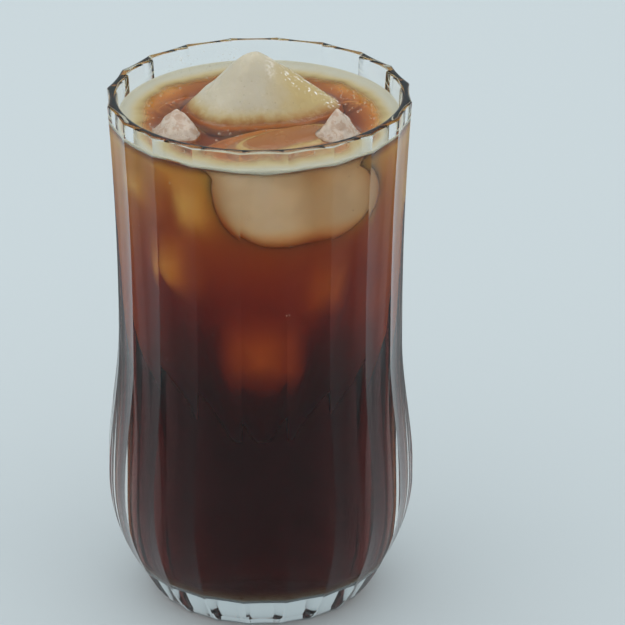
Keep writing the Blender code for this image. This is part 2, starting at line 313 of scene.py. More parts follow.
class DrinkColours(bpy.types.PropertyGroup):
    """Colours of the drink, its ice and the floor."""

    coffee: colour_field("Coffee", "Colour that the coffee turns light to", (0.775, 0.46, 0.0))
    coffee_strength: FloatProperty(
        name="Coffee Strength", description="How fast it takes up light, for each metre", default=300.0)
    ice: colour_field("Ice", "Cloudy ice", (0.47, 0.44, 0.345))
    # Yellow Ice is painted light: the glow of coffee seen through the ice, on the crown's right and low down.
    ice_yellow: colour_field("Yellow Ice", "Ice that a little coffee shines through", (0.44, 0.34, 0.14))
    # Soaked Ice is the real coffee film on the flat piece, and also a painted glow along every crown's foot
    # just above the surface.
    ice_orange: colour_field("Soaked Ice", "Ice that coffee has run over", (0.27, 0.105, 0.03))
    clear_ice: colour_field("Clear Ice", "Small clear pieces of ice", (0.52, 0.46, 0.39))
    # Painted light: much paler than the floating ice, for the light that translucent ice would carry down
    # into the coffee.
    sunken_ice: colour_field("Sunken Ice", "Milky ice under the surface", (0.97, 0.96, 0.91))
    # Painted glow of light in the coffee near its surface, laid over the whole heap.
    golden_ice: colour_field("Golden Ice", "The heap of ice near the surface", (0.98, 0.66, 0.23))
    # Painted shade for ice low in the heap, deep under the surface or far from the glass.
    brown_ice: colour_field("Brown Ice", "Ice half way down or far from the glass", (0.84, 0.44, 0.14))
    # Colours the heap darker orange where it lies just under the surface.
    shallow_ice_tint: colour_field("Stained Ice", "Ice just under the surface", (0.38, 0.14, 0.035))
    froth: colour_field("Froth", "Froth at the glass", (0.43, 0.44, 0.36))
    froth_yellow: colour_field("Yellow Froth", "Thinner froth", (0.44, 0.36, 0.17))
    froth_orange: colour_field("Thin Froth", "Froth that the coffee shines through", (0.42, 0.22, 0.07))
    floor: colour_field("Floor", "Pale floor", (0.50, 0.57, 0.60))


# Shapes.


def ease(share):
    """A smooth step from 0 to 1."""
    return share * share * (3 - 2 * share)


def part_way(value, low, high):
    """How far a value has come from low to high, from 0 to 1."""
    return np.clip((value - low) / (high - low), 0, 1)


def degrees_from(angle, middle):
    """How far an angle lies from another, from -180 to 180."""
    return (angle - middle + 180) % 360 - 180


def ridge_radius(glass, height):
    """The glass's outer radius at its ridges."""
    if height < glass.bulge_height:
        share = height / glass.bulge_height
        flare = glass.foot_flare * glass.bulge_height * share * (1 - share) ** 2
        return glass.foot_radius + (glass.bulge_radius - glass.foot_radius) * ease(share) + flare
    if height < glass.waist_low:
        share = (height - glass.bulge_height) / (glass.waist_low - glass.bulge_height)
        return glass.bulge_radius + (glass.waist_radius - glass.bulge_radius) * ease(share)
    share = max(0.0, (height - glass.waist_high) / (glass.height - glass.waist_high))
    return glass.waist_radius + (glass.rim_radius - glass.waist_radius) * share ** 2


def bore_radius(glass, height):
    """The radius of the straight, tapering part of the inside."""
    return glass.bore_radius - glass.bore_draft * (glass.height - height)


def arc(radius, height, rounding, start, end, steps=ROUND_STEPS):
    """(radius, height) round a point, between two angles in degrees."""
    turns = np.radians(np.linspace(start, end, steps + 1))
    return [(radius + rounding * math.cos(turn), height + rounding * math.sin(turn)) for turn in turns]


def bore_profile(glass, top, grow):
    """(radius, height) down the inside from top to the middle of the floor, moved outwards by grow."""
    corner_top = glass.floor_height + glass.floor_corner
    heights = np.linspace(top, corner_top, BORE_ROWS)
    profile = [(bore_radius(glass, z) + grow, z) for z in heights]
    corner_radius = glass.floor_corner + grow
    middle = bore_radius(glass, corner_top) - glass.floor_corner
    profile += arc(middle, corner_top, corner_radius, 0, -90, CORNER_ROWS)[1:]
    floor = corner_top - corner_radius
    profile += [(middle * share, floor) for share in np.linspace(1, 0, FLOOR_RINGS + 1)[1:-1]]
    return profile


def around(columns, start=0.0):
    """Evenly spaced angles round a full turn."""
    return start + np.arange(columns) * math.tau / columns


def ring(radius, height, angles):
    """Points round the axis; radius and height may change from point to point."""
    radius = np.broadcast_to(radius, angles.shape)
    height = np.broadcast_to(height, angles.shape)
    return np.stack([radius * np.cos(angles), radius * np.sin(angles), height], axis=-1)


def skin(name, rings, closed=False):
    """A smooth mesh object through rings of points, joined end to end or closed by a fan at each end."""
    rings = np.asarray(rings, dtype=float)
    rows, columns = rings.shape[:2]
    index = np.arange(rows * columns).reshape(rows, columns)
    lower = index if closed else index[:-1]
    upper = np.roll(index, -1, axis=0) if closed else index[1:]
    sides = [lower, np.roll(lower, -1, axis=1), np.roll(upper, -1, axis=1), upper]
    faces = np.stack(sides, axis=-1).reshape(-1, 4).tolist()
    points = rings.reshape(-1, 3).tolist()
    if not closed:
        for row in (0, rows - 1):
            points.append(rings[row].mean(axis=0).tolist())
            after = np.roll(index[row], -1)
            faces += [(len(points) - 1, int(a), int(b)) for a, b in zip(index[row], after)]
    mesh = bpy.data.meshes.new(name)
    mesh.from_pydata(points, [], faces)
    face_outwards(mesh)
    mesh.shade_smooth()
    return add_object(name, mesh)


def add_object(name, data):
    thing = bpy.data.objects.new(name, data)
    bpy.context.scene.collection.objects.link(thing)
    return thing


def face_outwards(mesh):
    work = bmesh.new()
    work.from_mesh(mesh)
    bmesh.ops.recalc_face_normals(work, faces=work.faces)
    work.to_mesh(mesh)
    work.free()


def add_attribute(mesh, name, values, domain="POINT", kind="FLOAT"):
    attribute = mesh.attributes.new(name, kind, domain)
    attribute.data.foreach_set("value", values)


def coordinates(mesh):
    flat = np.empty(len(mesh.vertices) * 3, dtype=np.float32)
    mesh.vertices.foreach_get("co", flat)
    return flat.reshape(-1, 3).astype(float)


def settle(piece):
    """Turns a piece with its modifiers into a plain mesh."""
    graph = bpy.context.evaluated_depsgraph_get()
    mesh = bpy.data.meshes.new_from_object(
        piece.evaluated_get(graph), preserve_all_data_layers=True, depsgraph=graph)
    old = piece.data
    piece.modifiers.clear()
    piece.data = mesh
    bpy.data.meshes.remove(old)
    mesh.name = piece.name


def swell(mesh, amounts):
    """Moves each point away from the middle of the mesh by its amount."""
    place = coordinates(mesh)
    away = place - (place.min(axis=0) + place.max(axis=0)) / 2
    away /= np.linalg.norm(away, axis=1)[:, None]
    place += away * np.broadcast_to(amounts, len(place))[:, None]
    mesh.vertices.foreach_set("co", place.astype(np.float32).ravel())
    mesh.update()


def roughen(piece, layers, seed):
    """Makes a piece uneven by layers of soft noise: (size of the lumps, how far they stand out)."""
    offset = Vector((seed * 3.1, seed * 1.7, seed * 2.3))
    heights = [
        sum(depth * noise.noise(vertex.co / size + offset) for size, depth in layers)
        for vertex in piece.data.vertices
    ]
    swell(piece.data, heights)


def finish_piece(piece, slot, *nodes):
    """Makes a finished piece ride on the glass and stand for these nodes."""
    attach(piece, "root")
    if nodes:
        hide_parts(*nodes)


def outline(ice, centre, half_size, turn, angles):
    """Points of the ice's worn outline with this centre, size and turn."""
    power = ice.squareness
    reach = np.abs(np.cos(angles) / half_size[0]) ** power + np.abs(np.sin(angles) / half_size[1]) ** power
    worn = sum(size * np.sin(count * angles + ice.wear * count) for count, size in MELT_WAVES)
    radius = reach ** (-1 / power) * (1 + worn)
    turned = angles + math.radians(turn)
    return np.column_stack([centre[0] + radius * np.cos(turned), centre[1] + radius * np.sin(turned)])


def crown_height(ice, share, angles):
    """The crown's height this share of the way from its peak to its outline, as a share of its rise."""
    dome = 1 - share ** (ice.crown * (1 + ice.skew * np.cos(angles)))
    blunted = (math.hypot(share, SPIRE_TIP) - SPIRE_TIP) / (math.hypot(1.0, SPIRE_TIP) - SPIRE_TIP)
    hollow = ice.saddle * math.sin(math.tau * share) * np.maximum(0.0, np.cos(angles)) ** 2
    return (1 - ice.spire) * dome + ice.spire * (1 - blunted) ** 2 - hollow


def ice_rings(glass, drink, ice, columns, rows):
    """Rings from just under the peak, down over the crown and round the belly to its bottom."""
    angles = around(columns)
    top = outline(ice, ice.centre, ice.half_size, ice.turn, angles)
    rings = []
    for share in np.linspace(PEAK_SHARE, 1, rows):
        shift = (1 - share) * np.array(ice.peak)
        heights = drink.level + ice.rise * crown_height(ice, share, angles)
        rings.append(placed(top, ice.centre, share, shift, heights))
    centre, belly = ice.centre, top
    if ice.step:
        centre = ice.step[0]
        belly = outline(ice, *ice.step, angles)
        for share in np.linspace(0, 1, LEDGE_ROWS + 1)[1:]:
            ledge = top + (belly - top) * ease(share)
            rings.append(placed(ledge, centre, 1.0, (0.0, 0.0), drink.level - LEDGE_DEPTH * share ** 2))
    power = 2 / ice.squareness
    for angle in np.linspace(0, BELLY_END, rows + 1)[1:]:
        down = ice.sink * math.sin(angle) ** power
        if down > LEDGE_DEPTH or not ice.step:
            share = math.cos(angle) ** power * (1 + ice.swell * math.sin(2 * angle))
            shift = math.sin(2 * angle) * np.array(ice.lean)
            rings.append(placed(belly, centre, share, shift, drink.level - down))
    rings = np.array(rings)
    reach = np.hypot(rings[..., 0], rings[..., 1])
    limit = bore_radius(glass, rings[..., 2]) - OFF_WALL
    kept = soft_lowest(np.array([reach, limit]), WALL_BLEND)
    rings[..., :2] *= (kept / reach)[..., None]
    return rings


def placed(points, centre, share, shift, heights):
    """An outline scaled by share, shifted sideways and set at these heights."""
    middle = np.array(centre)
    level = np.broadcast_to(heights, len(points))
    return np.column_stack([middle + share * (points - middle) + np.array(shift), level])


def turned_about(x, y, centre, turn):
    """How far points lie from a centre, across and along an outline turned by these degrees."""
    turn = math.radians(turn)
    x = x - centre[0]
    y = y - centre[1]
    return x * math.cos(turn) + y * math.sin(turn), y * math.cos(turn) - x * math.sin(turn)


def distance_from_ice(ice, x, y):
    """Roughly how far points of the surface lie outside a piece's outline there."""
    across, along = turned_about(x, y, ice.centre, ice.turn)
    power = ice.squareness
    across_share = np.abs(across / ice.half_size[0]) ** power
    along_share = np.abs(along / ice.half_size[1]) ** power
    share = (across_share + along_share) ** (1 / power)
    return np.hypot(across, along) * (1 - 1 / np.maximum(share, 0.2))


def surface_height(glass, drink, x, y):
    """The coffee's surface: level, but climbing the glass and the ice."""
    gap = bore_radius(glass, drink.level) - np.hypot(x, y)
    height = drink.level + drink.meniscus * np.exp(-np.maximum(gap, 0.0) / MENISCUS_REACH)
    for ice in FLOATING_ICE:
        gap = distance_from_ice(ice, x, y)
        height = height + drink.ice_meniscus * np.exp(-np.maximum(gap, 0.0) / ICE_MENISCUS_REACH)
    return height


def surface_ring(glass, drink, radius, angles):
    """Points on the coffee's surface round the axis."""
    flat = ring(radius, drink.level, angles)
    flat[:, 2] = surface_height(glass, drink, flat[:, 0], flat[:, 1])
    return flat


def waves(table, angles):
    """The sum of waves round a full turn: (how many, how high, where they start)."""
    return sum(size * np.sin(count * angles + phase) for count, size, phase in table)


def froth_edge(drink, angles):
    """How far from the axis the froth's uneven inner edge lies."""
    facing_front = np.maximum(0.0, -np.sin(angles)) ** 3
    edge = drink.froth_radius - drink.froth_front * facing_front
    return edge + waves(FROTH_WAVES, angles)


def cut_out(piece, names, inset):
    """Cuts these objects out of a piece, up to inset inside each, or outside it where inset is negative."""
    cutters = []
    for name in names:
        cutter = add_object(name + "_cutter", bpy.data.objects[name].data.copy())
        swell(cutter.data, -inset)
        boolean = piece.modifiers.new(name, "BOOLEAN")
        boolean.operation = "DIFFERENCE"
        boolean.solver = "EXACT"
        boolean.object = cutter
        cutters.append(cutter)
    settle(piece)
    for cutter in cutters:
        bpy.data.meshes.remove(cutter.data)


def cut_round_ice(piece):
    cut_out(piece, [ice.name + "_melting" for ice in FLOATING_ICE], SEAT)


# Node trees.


def put(tree, socket, value):
    """Links a socket to another node's output, or sets it; colours are given as three numbers."""
    if isinstance(value, bpy.types.NodeSocket):
        tree.links.new(value, socket)
    elif socket.type == "RGBA":
        socket.default_value = (*value, 1.0)
    else:
        socket.default_value = value


def add_node(tree, kind, inputs=None, **settings):
    """Adds a node, makes its settings, and links or sets its inputs by name or number."""
    node = tree.nodes.new(kind)
    for name, value in settings.items():
        setattr(node, name, value)
    for name, value in (inputs or {}).items():
        put(tree, node.inputs[name], value)
    return node


def new_material(name):
    finish = bpy.data.materials.new(name)
    finish.use_nodes = True
    finish.node_tree.nodes.clear()
    return finish, finish.node_tree


def math_node(tree, operation, first, second=0.0, third=0.0):
    inputs = {0: first, 1: second, 2: third}
    return add_node(tree, "ShaderNodeMath", inputs, operation=operation).outputs[0]


def times(tree, first, second):
    return math_node(tree, "MULTIPLY", first, second)


def ramp(tree, value, low, high, to_low=0.0, to_high=1.0):
    """Eases from to_low to to_high as value goes from low to high."""
    inputs = {"Value": value, "From Min": low, "From Max": high, "To Min": to_low, "To Max": to_high}
    return add_node(tree, "ShaderNodeMapRange", inputs, interpolation_type="SMOOTHSTEP").outputs["Result"]


def near(tree, value, middle, inner, outer, most=1.0):
    """most within inner of the middle, easing to 0 at outer."""
    away = math_node(tree, "ABSOLUTE", math_node(tree, "SUBTRACT", value, middle))
    return ramp(tree, away, inner, outer, most, 0.0)


def mix_colour(tree, share, first, second):
    node = add_node(tree, "ShaderNodeMix", {0: share}, data_type="RGBA")
    sockets = [socket for socket in node.inputs if socket.type == "RGBA"]
    for socket, value in zip(sockets, (first, second)):
        put(tree, socket, value)
    return next(socket for socket in node.outputs if socket.type == "RGBA")


def layered(tree, colour, layers):
    """Lays colours over a first one: (mask, colour) from the lowest up."""
    for mask, over in layers:
        colour = mix_colour(tree, mask, colour, over)
    return colour


def object_place(tree):
    return add_node(tree, "ShaderNodeTexCoord").outputs["Object"]


def axes(tree, place):
    parts = add_node(tree, "ShaderNodeSeparateXYZ", {0: place}).outputs
    return parts["X"], parts["Y"], parts["Z"]


def mesh_value(tree, name):
    return add_node(tree, "ShaderNodeAttribute", attribute_name=name).outputs["Fac"]


def noise_value(tree, place, scale, **inputs):
    return add_node(tree, "ShaderNodeTexNoise", {"Vector": place, "Scale": scale, **inputs}).outputs["Fac"]


def bumped(tree, height, strength, distance=0.001):
    inputs = {"Strength": strength, "Distance": distance, "Height": height}
    return add_node(tree, "ShaderNodeBump", inputs).outputs["Normal"]


def principled(tree, colour, roughness, ior, inputs):
    inputs = {"Base Color": colour, "Roughness": roughness, "IOR": ior, **inputs}
    return add_node(tree, "ShaderNodeBsdfPrincipled", inputs).outputs[0]


def show(tree, shader, **inputs):
    add_node(tree, "ShaderNodeOutputMaterial", {"Surface": shader, **inputs})


def lamps_pass(tree, shader):
    """Lets lamps shine straight through a clear shader, so that they reach what is behind it."""
    path = add_node(tree, "ShaderNodeLightPath")
    clear = add_node(tree, "ShaderNodeBsdfTransparent")
    inputs = {0: path.outputs["Is Shadow Ray"], 1: shader, 2: clear.outputs[0]}
    return add_node(tree, "ShaderNodeMixShader", inputs).outputs[0]


def melt_group():
    """Worn, wet ice: a bumpy normal, a mask of cloudy patches and one of fine specks."""
    group = bpy.data.node_groups.get("melted_surface")
    if group:
        return group
    group = bpy.data.node_groups.new("melted_surface", "ShaderNodeTree")
    for name in ("Lump Scale", "Strength"):
        group.interface.new_socket(name, in_out="INPUT", socket_type="NodeSocketFloat")
    for name, kind in (("Normal", "Vector"), ("Clouds", "Float"), ("Specks", "Float")):
        group.interface.new_socket(name, in_out="OUTPUT", socket_type="NodeSocket" + kind)
    given = group.nodes.new("NodeGroupInput").outputs
    place = object_place(group)
    lumps = noise_value(group, place, given["Lump Scale"], Detail=3.0)
    clouds = noise_value(group, place, 150.0, Detail=4.0, Roughness=0.6)
    pits = add_node(group, "ShaderNodeTexVoronoi", {"Vector": place, "Scale": 900.0})
    specks = ramp(group, pits.outputs["Distance"], 0.10, 0.22, 1.0, 0.0)
    specks = times(group, specks, ramp(group, pits.outputs["Color"], 0.62, 0.66))
    height = math_node(group, "MULTIPLY_ADD", specks, -0.25, lumps)
    normal = bumped(group, height, given["Strength"])
    add_node(group, "NodeGroupOutput", {"Normal": normal, "Clouds": clouds, "Specks": specks})
    return group


def melted(tree, lump_scale, strength):
    inputs = {"Lump Scale": lump_scale, "Strength": strength}
    return add_node(tree, "ShaderNodeGroup", node_tree=melt_group(), inputs=inputs).outputs


def glass_material(name, reflection):
    """Clear glass with faint drawn waves; reflection is 0 where coffee wets it, as little shines there."""
    finish, tree = new_material(name)
    drawn = add_node(tree, "ShaderNodeMapping", {"Vector": object_place(tree), "Scale": (1.0, 1.0, 0.15)})
    lines = noise_value(tree, drawn.outputs[0], 120.0)
    shader = principled(tree, (0.985, 0.995, 0.992), 0.0, 1.5, {
        "Transmission Weight": 1.0, "Specular Tint": (reflection, reflection, reflection),
        "Normal": bumped(tree, lines, 0.02)})
    show(tree, lamps_pass(tree, shader))
    return finish


def coffee_material(colours):
    """Clear brown coffee that takes up light with depth; it reflects only at its open surface."""
    finish, tree = new_material("black_coffee")
    open_surface = mesh_value(tree, "open_surface")
    reflection = mix_colour(tree, open_surface, (0.0, 0.0, 0.0), (0.28, 0.28, 0.28))
    ripples = noise_value(tree, object_place(tree), 220.0)
    shader = principled(tree, (1.0, 1.0, 1.0), 0.0, 1.34, {
        "Transmission Weight": 1.0, "Specular Tint": reflection,
        "Normal": bumped(tree, times(tree, ripples, open_surface), 0.05)})
    volume = add_node(tree, "ShaderNodeVolumeAbsorption",
                      {"Color": colours.coffee, "Density": colours.coffee_strength})
    show(tree, lamps_pass(tree, shader), Volume=volume.outputs[0])
    return finish


def cloudy_ice_material(colours, level):
    """Cloudy wet ice: a painted yellow glow on its right, a painted orange glow along its foot, orange where
    coffee lies on it, and a painted crest highlight and glints.
    """
    finish, tree = new_material("cloudy_ice")
    melt = melted(tree, 240.0, 0.25)
    place = object_place(tree)
    x, y, z = axes(tree, place)
    height = math_node(tree, "SUBTRACT", z, level)
    uneven = math_node(tree, "MULTIPLY_ADD", melt["Clouds"], 0.0035, height)
    across = math_node(tree, "MULTIPLY_ADD", melt["Clouds"], 0.008, x)
    # Painted glow of coffee light seen through the ice: yellow low on the crown and towards its right, orange
    # along its foot.
    low = ramp(tree, uneven, *YELLOW_HEIGHTS, 1.0, 0.0)
    yellow = math_node(tree, "MAXIMUM", ramp(tree, across, *YELLOW_X, 0.0, 0.85), low)
    lowest = ramp(tree, uneven, *ORANGE_HEIGHTS, 1.0, 0.0)
    lowest = math_node(tree, "SUBTRACT", lowest, mesh_value(tree, "bare"))
    # Orange is that painted glow, together with the real coffee film where the soaked attribute says.
    orange = math_node(tree, "MAXIMUM", lowest, mesh_value(tree, "soaked"))
    flecks = noise_value(tree, place, 1200.0, Detail=1.0)
    # Painted highlight: a paler, flecked streak down the crest of the big ice.
    crest = times(tree, near(tree, x, CREST_X, 0.0002, 0.0016, 0.35), ramp(tree, flecks, 0.35, 0.60))
    crest = times(tree, crest, ramp(tree, height, *CREST_HEIGHTS))
    # Painted glints: white flecks along the wet shoulder on the big ice's right, near-white like the crest's
    # highlight.
    slope = math_node(tree, "MULTIPLY_ADD", x, SHOULDER_SLOPE, z)
    wet = near(tree, slope, SHOULDER_HEIGHT, 0.0003, 0.0012)
    for value, limits in ((x, SHOULDER_X), (y, SHOULDER_Y), (flecks, (0.58, 0.66))):
        wet = times(tree, wet, ramp(tree, value, *limits))
    colour = layered(tree, colours.ice, (
        (yellow, colours.ice_yellow), (orange, colours.ice_orange),
        (times(tree, melt["Specks"], 0.35), (0.30, 0.25, 0.17)),
        (math_node(tree, "MAXIMUM", crest, wet), (0.80, 0.80, 0.78))))
    show(tree, principled(tree, colour, ramp(tree, melt["Clouds"], 0.3, 0.7, 0.12, 0.38), 1.31, {
        "Subsurface Weight": 0.7, "Subsurface Radius": (1.0, 0.85, 0.6), "Subsurface Scale": 0.003,
        "Normal": melt["Normal"]}))
    return finish


def sunken_ice_material(glass, colours, level):
    """Milky ice with no gloss: a painted golden glow on the heap, painted shade deep down and far from the
    glass, a painted red glow low in the middle, and darker tints near its top.
    """
    finish, tree = new_material("sunken_ice")
    place = object_place(tree)
    x, y, z = axes(tree, place)
    clouds = noise_value(tree, place, 90.0)
    clearer = [channel * 0.86 for channel in colours.sunken_ice]
    milky = mix_colour(tree, ramp(tree, clouds, 0.35, 0.65), clearer, colours.sunken_ice)

    # Painted glow: the heap is golden, and painted shade turns it brown lower down.
    heap = mesh_value(tree, "heap")
    lower = times(tree, heap, ramp(tree, z, *HEAP_LOWER_HEIGHTS, 1.0, 0.0))
    lowest = ramp(tree, z, *HEAP_LOWEST_HEIGHTS, 1.0, 0.0)

    # Painted light and shade at the bottom: a red glow near the middle, where light would come through from
    # behind, and dark shade further out.
    flat = add_node(tree, "ShaderNodeCombineXYZ", {"X": x, "Y": y}).outputs[0]
    off_axis = add_node(tree, "ShaderNodeVectorMath", {0: flat}, operation="LENGTH").outputs["Value"]
    outer = ramp(tree, off_axis, *HEAP_LOWEST_RADII)
    deepest = mix_colour(tree, outer, (0.66, 0.14, 0.06), (0.12, 0.028, 0.014))
    # Painted shade: brown where the ice lies far from the glass or deep under the surface.
    wall = math_node(
        tree, "MULTIPLY_ADD", z, glass.bore_draft, glass.bore_radius - glass.bore_draft * glass.height)
    in_deep = ramp(tree, math_node(tree, "SUBTRACT", wall, off_axis), *AWAY_FROM_GLASS)
    depth = math_node(tree, "SUBTRACT", level, z)
    underside = ramp(tree, depth, *UNDERSIDE_DEPTHS)
    away = math_node(tree, "MAXIMUM", in_deep, underside)
    away = times(tree, away, math_node(tree, "SUBTRACT", 1.0, heap))

    # Tan near the heap's top, and darker orange where it lies just under the surface.
    inner = ramp(tree, off_axis, *INNER_RADII, 1.0, 0.0)
    upper = times(tree, inner, ramp(tree, depth, *UPPER_DEPTHS, 1.0, 0.0))
    shallow = times(tree, inner, ramp(tree, depth, *SHALLOW_DEPTHS, 1.0, 0.0))
    colour = layered(tree, milky, (
        (heap, colours.golden_ice), (lower, colours.brown_ice), (away, colours.brown_ice),
        (lowest, deepest), (upper, (0.58, 0.42, 0.22)), (shallow, colours.shallow_ice_tint)))
    show(tree, principled(tree, colour, 0.6, 1.31, {
        "Specular IOR Level": 0.0, "Subsurface Weight": 1.0, "Subsurface Radius": (1.0, 0.9, 0.8),
        "Subsurface Scale": 0.004}))
    return finish


def clear_ice_material(colours):
    """A small clear piece, marbled by its cracks, with wet gloss."""
    finish, tree = new_material("clear_ice")
    melt = melted(tree, 420.0, 0.5)
    marble = noise_value(tree, object_place(tree), 520.0, Detail=5.0, Roughness=0.65, Distortion=0.7)
    colour = layered(tree, (0.40, 0.30, 0.23), (
        (ramp(tree, marble, 0.34, 0.66), colours.clear_ice),
        (near(tree, marble, 0.5, 0.002, 0.016, 0.45), (0.70, 0.66, 0.60))))
    show(tree, principled(tree, colour, 0.07, 1.31, {
        "Subsurface Weight": 0.4, "Subsurface Radius": (1.0, 0.8, 0.6), "Subsurface Scale": 0.002,
        "Normal": melt["Normal"]}))
    return finish


def froth_material(colours):
    """Fine froth: pale at the wall, yellow then orange and thinner towards its inner edge."""
    finish, tree = new_material("fine_froth")
    place = object_place(tree)
    patches = noise_value(tree, place, 160.0, Detail=4.0)
    reach = math_node(tree, "ADD", mesh_value(tree, "reach"), -0.15)
    cover = math_node(tree, "MULTIPLY_ADD", patches, 0.30, reach)
    cells = add_node(tree, "ShaderNodeTexVoronoi", {"Vector": place, "Scale": 2600.0})
    film = ramp(tree, cells.outputs["Distance"], 0.1, 0.7, 0.0, 0.10)
    colour = layered(tree, colours.froth_orange, (
        (ramp(tree, cover, 0.05, 0.45), colours.froth_yellow), (ramp(tree, cover, 0.40, 0.85), colours.froth),
        (film, (0.50, 0.38, 0.20))))
    show(tree, principled(tree, colour, 0.45, 1.34, {
        "Alpha": ramp(tree, cover, 0.0, 0.60, 0.0, 0.93), "Subsurface Weight": 0.5,
        "Subsurface Radius": (1.0, 0.9, 0.7), "Subsurface Scale": 0.001,
        "Normal": bumped(tree, times(tree, film, -1.0), 0.08, 0.0005)}))
    return finish


def bubble_material():
    """A thin bubble, whose pale colour is a painted reflection."""
    finish, tree = new_material("bubble_film")
    # Painted reflection: pale and more opaque where the bubble's edge turns away.
    edge = add_node(tree, "ShaderNodeLayerWeight", {"Blend": 0.35}).outputs["Facing"]
    alpha = ramp(tree, edge, 0.15, 0.9, 0.12, 0.75)
    show(tree, principled(tree, (0.86, 0.80, 0.66), 0.08, 1.33, {"Alpha": alpha}))
    return finish


def floor_material(colours):
    """A matt pale floor with a faint grain."""
    finish, tree = new_material("pale_floor")
    grain = noise_value(tree, object_place(tree), 900.0)
    darker = [channel * 0.985 for channel in colours.floor]
    colour = mix_colour(tree, grain, darker, colours.floor)
    show(tree, principled(tree, colour, 0.7, 1.5, {"Specular IOR Level": 0.2}))
    return finish


def geometry_tree(name, inputs):
    """An empty Geometry Nodes tree with a geometry in and out and these inputs: (name, kind)."""
    tree = bpy.data.node_groups.new(name, "GeometryNodeTree")
    for socket_name, kind in (("Geometry", "Geometry"), *inputs):
        tree.interface.new_socket(socket_name, in_out="INPUT", socket_type="NodeSocket" + kind)
    tree.interface.new_socket("Geometry", in_out="OUTPUT", socket_type="NodeSocketGeometry")
    return tree


def run_tree(piece, tree, values):
    """Runs a Geometry Nodes tree on a piece with these input values and keeps the result as its mesh."""
    modifier = piece.modifiers.new(tree.name, "NODES")
    modifier.node_group = tree
    for item in tree.interface.items_tree:
        if item.item_type == "SOCKET" and item.in_out == "INPUT" and item.name in values:
            modifier[item.identifier] = values[item.name]
    settle(piece)


def surface_value(tree, name, kind="FLOAT"):
    inputs = {"Name": name}
    return add_node(tree, "GeometryNodeInputNamedAttribute", inputs, data_type=kind).outputs["Attribute"]


def flute_tree():
    """Presses flutes into the outside of a turned form, and gives its wetted faces their own finish."""
    tree = geometry_tree("pressed_flutes", (
        ("Flutes", "Int"), ("Flute Depth", "Float"), ("First Ridge", "Float"),
        ("Dry Finish", "Material"), ("Wetted Finish", "Material")))
    given = tree.nodes.new("NodeGroupInput").outputs
    place = add_node(tree, "GeometryNodeInputPosition").outputs[0]
    x, y, _ = axes(tree, place)
    angle = math_node(tree, "SUBTRACT", math_node(tree, "ARCTAN2", y, x), given["First Ridge"])
    turns = math_node(tree, "DIVIDE", angle, math.tau)
    across = math_node(tree, "FRACT", times(tree, turns, given["Flutes"]))
    hollow = times(tree, across, math_node(tree, "SUBTRACT", 1.0, across))
    hollow = times(tree, times(tree, hollow, 4.0), given["Flute Depth"])
    hollow = times(tree, hollow, surface_value(tree, "outside"))
    keep = math_node(tree, "SUBTRACT", 1.0, hollow)
    scale = add_node(tree, "ShaderNodeCombineXYZ", {"X": keep, "Y": keep, "Z": 1.0})
    pressed = add_node(tree, "ShaderNodeVectorMath", {0: place, 1: scale.outputs[0]}, operation="MULTIPLY")
    moved = add_node(tree, "GeometryNodeSetPosition", {0: given["Geometry"], "Position": pressed.outputs[0]})
    real = add_node(tree, "GeometryNodeRealizeInstances", {0: moved.outputs[0]})
    dry = add_node(tree, "GeometryNodeSetMaterial", {0: real.outputs[0], "Material": given["Dry Finish"]})
    wetted = surface_value(tree, "wetted", "BOOLEAN")
    wet = add_node(tree, "GeometryNodeSetMaterial", {
        0: dry.outputs[0], "Selection": wetted, "Material": given["Wetted Finish"]})
    add_node(tree, "NodeGroupOutput", {0: wet.outputs[0]})
    return tree


def bubble_tree():
    """Scatters small round bubbles over a surface, thickest where its attribute says."""
    tree = bpy.data.node_groups.get("scattered_bubbles")
    if tree:
        return tree
    tree = geometry_tree("scattered_bubbles", (
        ("Density", "Float"), ("Smallest", "Float"), ("Largest", "Float"), ("Seed", "Int"),
        ("Finish", "Material")))
    given = tree.nodes.new("NodeGroupInput").outputs
    density = times(tree, given["Density"], surface_value(tree, "crowding"))
    points = add_node(tree, "GeometryNodeDistributePointsOnFaces", {
        "Mesh": given["Geometry"], "Density": density, "Seed": given["Seed"]})
    ball = add_node(tree, "GeometryNodeMeshUVSphere", {"Segments": 8, "Rings": 6})
    chance = add_node(tree, "FunctionNodeRandomValue", {"Seed": given["Seed"]}, data_type="FLOAT")
    small = math_node(tree, "POWER", chance.outputs[1], 2.5)
    spread = math_node(tree, "SUBTRACT", given["Largest"], given["Smallest"])
    size = math_node(tree, "MULTIPLY_ADD", small, spread, given["Smallest"])
    balls = add_node(tree, "GeometryNodeInstanceOnPoints", {
        "Points": points.outputs["Points"], "Instance": ball.outputs["Mesh"], "Scale": size})
    real = add_node(tree, "GeometryNodeRealizeInstances", {0: balls.outputs[0]})
    smooth = add_node(tree, "GeometryNodeSetShadeSmooth", {0: real.outputs[0]})
    finish = add_node(tree, "GeometryNodeSetMaterial", {0: smooth.outputs[0], "Material": given["Finish"]})
    add_node(tree, "NodeGroupOutput", {0: finish.outputs[0]})
    return tree


# Pieces.


